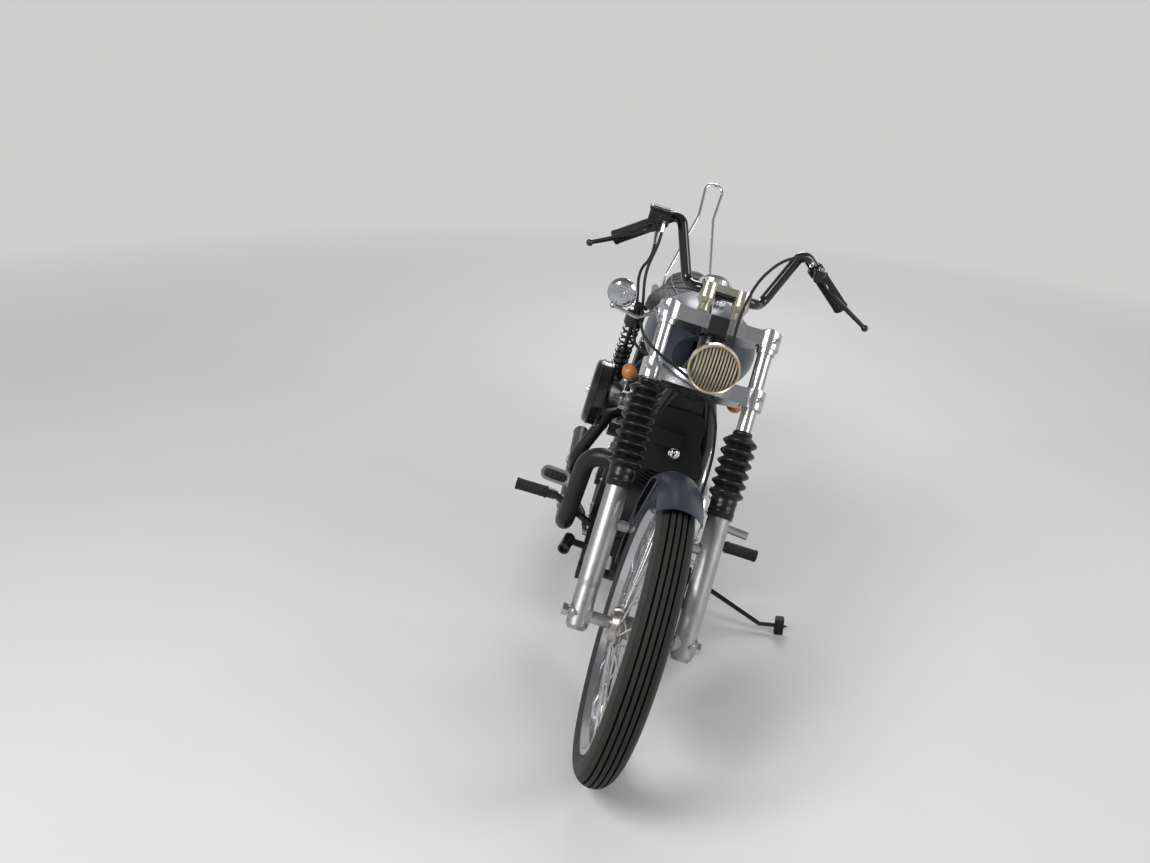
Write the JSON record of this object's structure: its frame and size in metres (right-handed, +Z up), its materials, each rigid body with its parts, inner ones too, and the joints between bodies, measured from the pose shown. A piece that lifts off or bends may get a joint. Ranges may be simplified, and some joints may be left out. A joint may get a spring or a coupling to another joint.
{
  "type": "motorcycle",
  "caption": "Chopper motorcycle leaning on its side stand, with a raked fork in gaiters, spoked wheels, a V engine, a teardrop tank, a low seat and a rod backrest",
  "frame": {"origin": "on the ground at the middle of the whole machine's box", "axes": "+Y from the front wheel to the rear, +X to the rider's left, +Z up; the machine leans 13.5 degrees to its left onto the side stand"},
  "size_m": [0.8642, 2.3433, 1.1811],
  "materials": {
    "tyre_rubber": "matt, worn",
    "chrome": "bright",
    "hub_alloy": "dull cast",
    "disc_steel": "ground",
    "fork_alloy": "satin",
    "polished_alloy": "polished",
    "gaiter_rubber": "matt",
    "black_rubber": "matt",
    "black_enamel": "gloss",
    "frame_enamel": "gloss",
    "exhaust_black": "satin heat-proof",
    "engine_black": "crackle",
    "body_paint": "satin blue-grey",
    "brass": "polished",
    "black_plastic": "matt",
    "seat_cover": "black, grained",
    "amber_lens": "clear",
    "red_lens": "clear",
    "chain_steel": "oiled"
  },
  "bodies": {
    "frame": {"frame_backbone": "frame_enamel", "frame_cradle": "frame_enamel", "frame_rails": "frame_enamel", "swingarm": "frame_enamel", "rear_axle": "chrome", "shocks": "chrome", "engine_cases": "engine_black", "cylinders": "engine_black", "cylinder_heads": "engine_black", "pushrod_tubes": "chrome", "primary_case": "polished_alloy", "intake": "polished_alloy", "air_cleaner": "black_enamel", "exhaust_front": "exhaust_black", "exhaust_rear": "exhaust_black", "fuel_tank": "body_paint", "fuel_cap": "chrome", "seat": "seat_cover", "rear_fender": "body_paint", "sissy_bar": "chrome", "tail_lamp": "red_lens", "oil_tank": "black_enamel", "front_unit": "black_plastic", "turn_signals": "amber_lens", "forward_controls": "black_enamel", "foot_levers": "black_enamel", "drive_chain": "chain_steel"},
    "steering": {"lower_clamp": "polished_alloy", "upper_clamp": "polished_alloy", "fork_tubes": "chrome", "fork_gaiters": "gaiter_rubber", "fork_sliders": "fork_alloy", "front_axle": "chrome", "front_caliper": "black_enamel", "front_fender": "body_paint", "headlight": "chrome", "headlight_grille": "brass", "lamp_switch_box": "black_plastic", "risers": "brass", "gauge": "chrome", "handlebar": "black_enamel", "grips": "black_rubber", "hand_levers": "black_enamel", "master_cylinder": "black_plastic", "mirror": "chrome", "clutch_cable": "black_rubber", "throttle_cable": "black_rubber", "brake_hose": "black_rubber"},
    "front_wheel": {"front_tyre": "tyre_rubber", "front_rim": "chrome", "front_hub": "hub_alloy", "front_disc": "disc_steel"},
    "rear_wheel": {"rear_tyre": "tyre_rubber", "rear_rim": "chrome", "rear_hub": "hub_alloy", "rear_disc": "disc_steel", "rear_sprocket": "chain_steel"},
    "side_stand": {"side_stand": "chrome", "stand_bumper": "black_rubber"}
  },
  "joints": [
    {"name": "steering_turn", "type": "hinge", "parent": "frame", "child": "steering", "pos_m": [0.04819, -0.45146, 0.84001], "axis": [0.2001, 0.515, 0.8335], "range_deg": [-35, 35]},
    {"name": "front_wheel_spin", "type": "hinge", "parent": "steering", "child": "front_wheel", "pos_m": [-0.07266, -0.82668, 0.33663], "axis": [0.9724, 0, -0.2334], "continuous": true},
    {"name": "rear_wheel_spin", "type": "hinge", "parent": "frame", "child": "rear_wheel", "pos_m": [-0.0783, 0.79332, 0.31315], "axis": [0.9724, 0, -0.2334], "continuous": true},
    {"name": "side_stand_fold", "type": "hinge", "parent": "frame", "child": "side_stand", "pos_m": [0.01417, -0.12668, 0.1243], "axis": [0.3499, -0.0235, 0.9365], "range_deg": [0, 109]}
  ]
}
